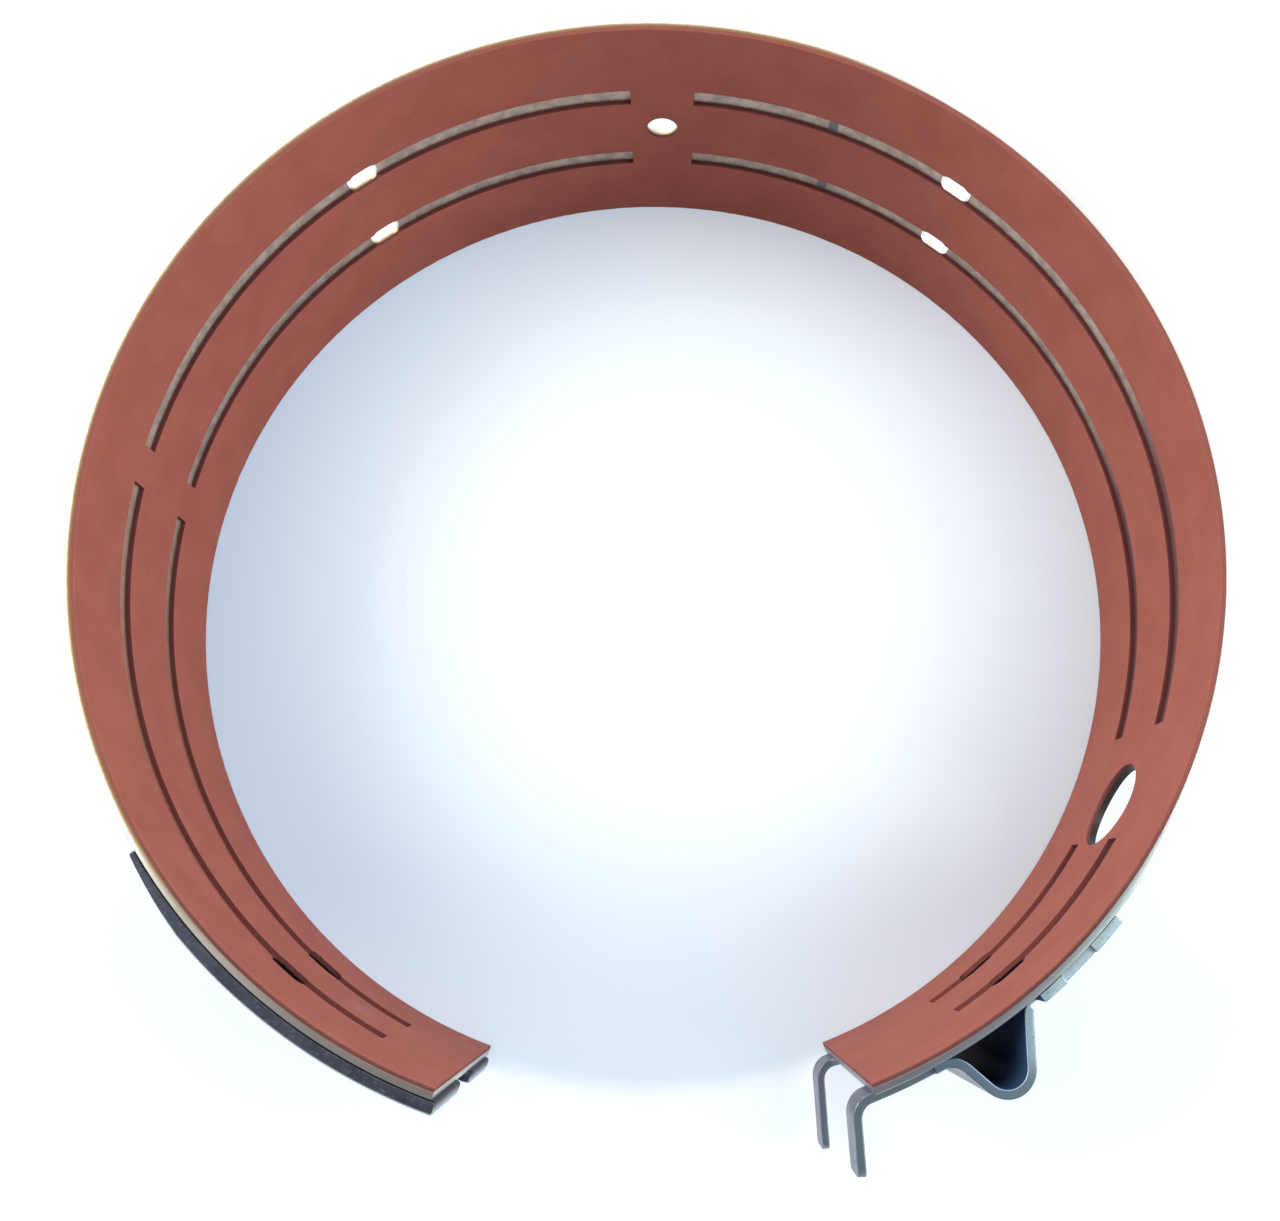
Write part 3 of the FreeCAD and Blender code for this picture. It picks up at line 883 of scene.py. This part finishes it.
@dataclass
class Punches:
    """The die's punches for the round holes, the oil slots and the oil grooves."""

    reach: float = 8.0 * MM
    top_hole: tuple[float, float] = (89.4, 3.25 * MM)
    large_hole: tuple[float, float] = (-28.7, 8.6 * MM)
    slot_pairs: tuple[SlotPair, ...] = (
        SlotPair(51.8, 9.85 * MM, 6.9 * MM, 5.0 * MM),
        SlotPair(127.0, 9.85 * MM, 6.9 * MM, 5.0 * MM),
        SlotPair(-51.4, 10.35 * MM, 7.7 * MM, 6.0 * MM),
        SlotPair(230.2, 10.35 * MM, 7.7 * MM, 6.0 * MM),
    )
    slot_corner: float = 1.9 * MM
    slot_segments: int = 8
    hole_corners: int = 96
    groove_spans: tuple[Limits, ...] = ((-58.0, -33.3), (-19.7, 85.6), (93.2, 168.2), (172.5, 242.0))
    groove_overrun: float = 1.0 * MM

    def holes(self) -> bpy.types.Object:
        """Joins the punches for holes and slots, which go through strap and lining.

        Returns:
            The joined punch.
        """
        made = []
        for angle, radius in (self.top_hole, self.large_hole):
            pick(None)
            bpy.ops.mesh.primitive_cylinder_add(vertices=self.hole_corners, radius=radius, depth=self.reach,
                                                location=(0, 0, 0))
            place = polar(LINING_OUTER, angle, MID_WIDTH)
            settle(bpy.context.active_object, place, (0, math.pi / 2, math.radians(angle)))
            made.append(bpy.context.active_object)
        for pair in self.slot_pairs:
            for side in (-pair.offset, pair.offset):
                made.append(self.slot(pair, MID_WIDTH + side))
        return self.joined(made)

    def slot(self, pair: SlotPair, height: float) -> bpy.types.Object:
        """Shapes one slot's punch.

        Args:
            pair: The slot's place and size.
            height: Its height.

        Returns:
            The punch.
        """
        pick(None)
        bpy.ops.mesh.primitive_cube_add(size=1.0, location=(0, 0, 0))
        punch = bpy.context.active_object
        with editing(punch, Part.EDGE):
            bpy.ops.transform.resize(value=(self.reach, pair.length, pair.width))
            choose(punch, Part.EDGE, lambda ends: abs(ends[0].x - ends[1].x) > self.reach / 2)
            bpy.ops.mesh.bevel(offset=self.slot_corner, segments=self.slot_segments, affect="EDGES")
        settle(punch, polar(LINING_OUTER, pair.angle, height), (0, 0, math.radians(pair.angle)))
        return punch

    def grooves(self) -> bpy.types.Object:
        """Joins the cutters for the grooves, which go through the lining alone.

        Returns:
            The joined cutter.
        """
        made = []
        inner, outer = LINING_INNER - self.groove_overrun, LINING_OUTER + self.groove_overrun
        for row in GROOVE_ROWS:
            low, high = row - GROOVE_WIDTH / 2, row + GROOVE_WIDTH / 2
            for start, end in self.groove_spans:
                made.append(Sector("groove", inner, outer, low, high, start, end, round(end - start)).build())
        return self.joined(made)

    @staticmethod
    def joined(punches: list[bpy.types.Object]) -> bpy.types.Object:
        """Joins several punches into one object.

        Args:
            punches: The punches.

        Returns:
            The one object.
        """
        pick(punches[0])
        for punch in punches:
            punch.select_set(True)
        bpy.ops.object.join()
        return bpy.context.active_object

    @staticmethod
    def cut(piece: bpy.types.Object, punch: bpy.types.Object) -> None:
        """Takes a punch's shape out of a piece, and puts the punch away.

        Args:
            piece: The piece that is cut.
            punch: The punch, which is removed.
        """
        finish_modifier(piece, "BOOLEAN", operation="DIFFERENCE", solver="EXACT", object=punch)
        bpy.data.objects.remove(punch, do_unlink=True)
        with editing(piece):
            bpy.ops.mesh.remove_doubles(threshold=MERGE)
            bpy.ops.mesh.dissolve_degenerate(threshold=MERGE)


def seat(piece: bpy.types.Object, node: str, material: bpy.types.Material,
         smooth: float = 32.0) -> bpy.types.Object:
    """Smooths a finished piece, gives it its finish and puts it in its CAD node's place.

    Args:
        piece: The finished piece.
        node: The CAD node that it stands for.
        material: Its finish.
        smooth: Edges under this angle are shaded smooth, in degrees.

    Returns:
        The piece.
    """
    pick(piece)
    bpy.ops.object.shade_smooth_by_angle(angle=math.radians(smooth))
    piece.data.materials.clear()
    piece.data.materials.append(material)
    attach(piece, "root")
    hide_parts(node)
    return piece


@dataclass
class LinedStrap:
    """The rolled strap with the friction lining bonded inside it."""

    strap_steps: int = 320
    # No step of the lining may fall on a groove's end, or the cut leaves its mesh open.
    lining_steps: int = 630
    strap_rounding: float = 0.20 * MM
    lining_rounding: float = 0.30 * MM
    box_clearance: float = 0.006 * MM
    chip_size: float = 1.6 * MM
    chip_depth: float = 0.25 * MM

    def build(self) -> list[bpy.types.Object]:
        """Builds the strap and the lining."""
        return [self.strap(), self.lining()]

    def strap(self) -> bpy.types.Object:
        """Spins the strip with its sheared edges eased, and punches it.

        Returns:
            The strap.
        """
        outer = STRAP_OUTER - self.box_clearance
        strap = Sector("lined_strap_steel", LINING_OUTER, outer, 0.0, WIDTH, APPLY_END, ANCHOR_END,
                       self.strap_steps, self.strap_rounding, self.strap_rounding).build()
        punches = Punches()
        punches.cut(strap, punches.holes())
        return seat(strap, "band_strap", StripSteel().material())

    def lining(self) -> bpy.types.Object:
        """Spins the lining, chips its worn rims and cuts its grooves and holes.

        Returns:
            The lining.
        """
        lining = Sector("lined_strap_lining", LINING_INNER, LINING_OUTER, 0.0, WIDTH, APPLY_END, ANCHOR_END,
                        self.lining_steps, self.lining_rounding).build()
        worn = 1.5 * self.lining_rounding
        self.chip(lining, "near_rim", -self.chip_depth, lambda z: z > WIDTH - worn)
        self.chip(lining, "far_rim_shade", self.chip_depth, lambda z: z < worn)
        punches = Punches()
        punches.cut(lining, punches.grooves())
        punches.cut(lining, punches.holes())
        return seat(lining, "friction_lining", FrictionPaper().material())

    def chip(self, lining: bpy.types.Object, name: str, depth: float, rim: Callable[[float], bool]) -> None:
        """Makes one worn rim of the lining ragged.

        Args:
            lining: The lining.
            name: The rim's name.
            depth: How far a chip goes along the axis, in metres.
            rim: Takes a height and says whether it is on the rim.
        """
        group = lining.vertex_groups.new(name=name)
        inside = LINING_INNER + 1.01 * self.lining_rounding
        chosen = [v.index for v in lining.data.vertices if rim(v.co.z) and v.co.xy.length < inside]
        group.add(chosen, 1.0, "REPLACE")
        crumbs = bpy.data.textures.new(name, "CLOUDS")
        crumbs.noise_scale = self.chip_size
        finish_modifier(lining, "DISPLACE", texture=crumbs, vertex_group=name, direction="Z",
                        strength=depth, mid_level=0.0, texture_coords="LOCAL")


@dataclass
class Bracket:
    """A bracket that takes its shape from its CAD node, with its sharp edges eased."""

    name: str
    node: str
    slot: str
    edge: float
    flat: float = 0.2
    sharp: float = 40.0
    smooth: float = 50.0
    segments: int = 2
    face_weight: int = 80

    def build(self, material: bpy.types.Material) -> bpy.types.Object:
        """Copies the node, merges its loose triangles, eases its edges and dresses it.

        Args:
            material: Its finish.

        Returns:
            The bracket.
        """
        piece = bpy.data.objects.new(self.name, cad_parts[self.node].data.copy())
        bpy.context.scene.collection.objects.link(piece)
        with editing(piece):
            bpy.ops.mesh.customdata_custom_splitnormals_clear()
            bpy.ops.mesh.remove_doubles(threshold=MERGE)
            bpy.ops.mesh.dissolve_limited(angle_limit=math.radians(self.flat))
        finish_modifier(piece, "BEVEL", width=self.edge, segments=self.segments, limit_method="ANGLE",
                        angle_limit=math.radians(self.sharp), use_clamp_overlap=False)
        with editing(piece):
            bpy.ops.mesh.remove_doubles(threshold=MERGE)
        seat(piece, self.node, material, self.smooth)
        finish_modifier(piece, "WEIGHTED_NORMAL", keep_sharp=True, weight=self.face_weight)
        return piece


@dataclass
class AnchorEnd:
    """The thick notched plate on one end."""

    edge: float = 0.45 * MM

    def build(self) -> list[bpy.types.Object]:
        """Builds the blanked plate and dresses it."""
        plate = Bracket("anchor_plate", "anchor_bracket", "anchor_steel", self.edge)
        return [plate.build(OiledPlate().material())]


@dataclass
class ApplyEnd:
    """The bent sheet with its loop and fork on the other end."""

    edge: float = 0.25 * MM

    def build(self) -> list[bpy.types.Object]:
        """Builds the pressed sheet and dresses it."""
        sheet = Bracket("apply_sheet", "apply_bracket", "apply_steel", self.edge)
        return [sheet.build(PressedSheet().material())]


@dataclass
class Camera:
    """The photograph's camera: a phone held above the band, tilted and a little turned."""

    place: tuple[float, float, float] = (0.001936, -0.065942, 0.250490)
    swing: float = -7.034
    tilt: float = 13.290
    roll: float = 6.823
    lens: float = 33.19
    sensor_width: float = 36.0
    shift_x: float = -0.0469
    shift_y: float = 0.0199
    clip_start: float = 0.01

    def build(self) -> None:
        """Adds the camera and makes it the scene's own."""
        data = bpy.data.cameras.new("photo_camera")
        data.lens = self.lens
        data.sensor_width = self.sensor_width
        data.sensor_fit = "HORIZONTAL"
        data.shift_x = self.shift_x
        data.shift_y = self.shift_y
        data.clip_start = self.clip_start
        camera = bpy.data.objects.new("photo_camera", data)
        turn = (Matrix.Rotation(math.radians(self.swing), 4, "Z")
                @ Matrix.Rotation(math.radians(self.tilt), 4, "X")
                @ Matrix.Rotation(math.radians(self.roll), 4, "Z"))
        camera.matrix_world = Matrix.Translation(self.place) @ turn
        bpy.context.scene.collection.objects.link(camera)
        bpy.context.scene.camera = camera


@dataclass(frozen=True)
class Softbox:
    """One square soft lamp. At a strength of 1, a face that looks at it shows its colour as written."""

    name: str
    bearing: float
    strength: float
    elevation: float = 38.0
    distance: float = 0.75
    side: float = 0.5
    aim: tuple[float, float, float] = (0.0, 0.0, 0.02)

    def build(self) -> None:
        """Hangs the lamp so that it looks at the band."""
        data = bpy.data.lights.new(self.name, "AREA")
        data.energy = self.strength * (math.pi * self.distance) ** 2
        data.size = self.side
        lamp = bpy.data.objects.new(self.name, data)
        rise = math.radians(self.elevation)
        aim = Vector(self.aim)
        level, height = self.distance * math.cos(rise), self.distance * math.sin(rise)
        lamp.location = aim + polar(level, self.bearing, height)
        lamp.rotation_euler = (aim - lamp.location).to_track_quat("-Z", "Y").to_euler()
        bpy.context.scene.collection.objects.link(lamp)


@dataclass
class Studio:
    """A pale floor with painted shade in its glow, a soft lamp on either side and a weak one behind, and a
    soft fill all round.
    """

    floor_side: float = 6.0
    floor_drop: float = 0.05 * MM
    floor_board: str = "B5BFC7"
    glow_middle: str = "CBD1D4"
    glow_left: str = "879CB0"
    glow_right: str = "8A8C90"
    glow_outside: str = "C8CDD2"
    glow_sides: Limits = (-70 * MM, 60 * MM)
    lit_spot: tuple[float, float, float] = (10.0 * MM, 14.0 * MM, 0.0)
    lit_reach: Limits = (40 * MM, 110 * MM)
    gap_reach: Limits = (-55 * MM, -90 * MM)
    ring: Limits = (LINING_INNER, STRAP_OUTER + 4 * MM)
    fill: float = 0.5
    fill_colour: str = "EAF0FF"
    overhead: Limits = (0.82, 0.97)
    overhead_dimming: float = 0.5
    softboxes: tuple[Softbox, ...] = (
        Softbox("left_softbox", 160.0, 0.70),
        Softbox("right_softbox", 0.0, 0.60),
        Softbox("back_softbox", 90.0, 0.15),
    )

    def build(self) -> None:
        """Adds floor, world and lamps, and sets the plain view transform."""
        bpy.context.scene.view_settings.view_transform = "Standard"
        self.floor()
        self.world()
        for softbox in self.softboxes:
            softbox.build()

    @staticmethod
    def seen(tree: bpy.types.NodeTree) -> Socket:
        """Gives one for rays from the camera and for reflections, and zero for light on the band."""
        rays = add(tree, "LightPath").outputs
        return add(tree, "Math", {0: rays["Is Camera Ray"], 1: rays["Is Glossy Ray"]},
                   operation="MAXIMUM").outputs[0]

    def floor(self) -> None:
        """Adds the floor just under the band, white where it is lit and blue-grey in the band's shade, which
        is partly real and partly painted into its glow.
        """
        pick(None)
        bpy.ops.mesh.primitive_plane_add(size=self.floor_side, location=(0, 0, -self.floor_drop))
        floor = bpy.context.active_object
        floor.name = "studio_floor"
        s = Surface("matt_white_board")
        # Painted shade: the glow is dimmer inside the band towards its walls and bluest on its left. It is
        # lighter round a spot near the middle and towards the gap.
        shade = s.pair(s.step(s.x, *self.glow_sides), self.glow_left, self.glow_right)
        away = s.step(s.nearest([Vector(self.lit_spot)]), *self.lit_reach)
        inside = s.blend(away, linear(self.glow_middle), shade)
        inside = s.paint(inside, s.share(s.step(s.y, *self.gap_reach), 0.35), self.glow_outside)
        glow = s.paint(inside, s.step(s.radius, *self.ring), self.glow_outside)
        board = add(s.tree, "BsdfDiffuse", {"Color": linear(self.floor_board)}).outputs[0]
        light = add(s.tree, "Emission", {"Color": glow, "Strength": self.seen(s.tree)}).outputs[0]
        both = add(s.tree, "AddShader", {0: board, 1: light}).outputs[0]
        add(s.tree, "OutputMaterial", {"Surface": both})
        floor.data.materials.append(s.material)

    def world(self) -> None:
        """Gives the soft fill, and a white surround for the camera and for gloss, dimmer overhead."""
        world = bpy.data.worlds.new("studio_surround")
        bpy.context.scene.world = world
        world.use_nodes = True
        tree = world.node_tree
        tree.nodes.clear()
        heading = add(tree, "SeparateXYZ", {0: add(tree, "TexCoord").outputs["Generated"]}).outputs["Z"]
        dimmed = add(tree, "MapRange", {"Value": heading, "From Min": self.overhead[0],
                                        "From Max": self.overhead[1], "To Min": 1.0,
                                        "To Max": self.overhead_dimming}, interpolation_type="SMOOTHSTEP")
        shown = add(tree, "Background", {"Color": linear("FFFFFF"), "Strength": dimmed.outputs["Result"]})
        fill = add(tree, "Background", {"Color": linear(self.fill_colour), "Strength": self.fill})
        mixed = add(tree, "MixShader", {0: self.seen(tree), 1: fill.outputs[0], 2: shown.outputs[0]})
        add(tree, "OutputWorld", {"Surface": mixed.outputs[0]})


def main() -> None:
    """Builds the camera, the studio and the band's sub-assemblies."""
    Camera().build()
    Studio().build()
    for assembly in (LinedStrap(), AnchorEnd(), ApplyEnd()):
        for piece in assembly.build():
            LOG.info("%s: %s, %d faces", type(assembly).__name__, piece.name, len(piece.data.polygons))


if __name__ == "__main__":
    main()
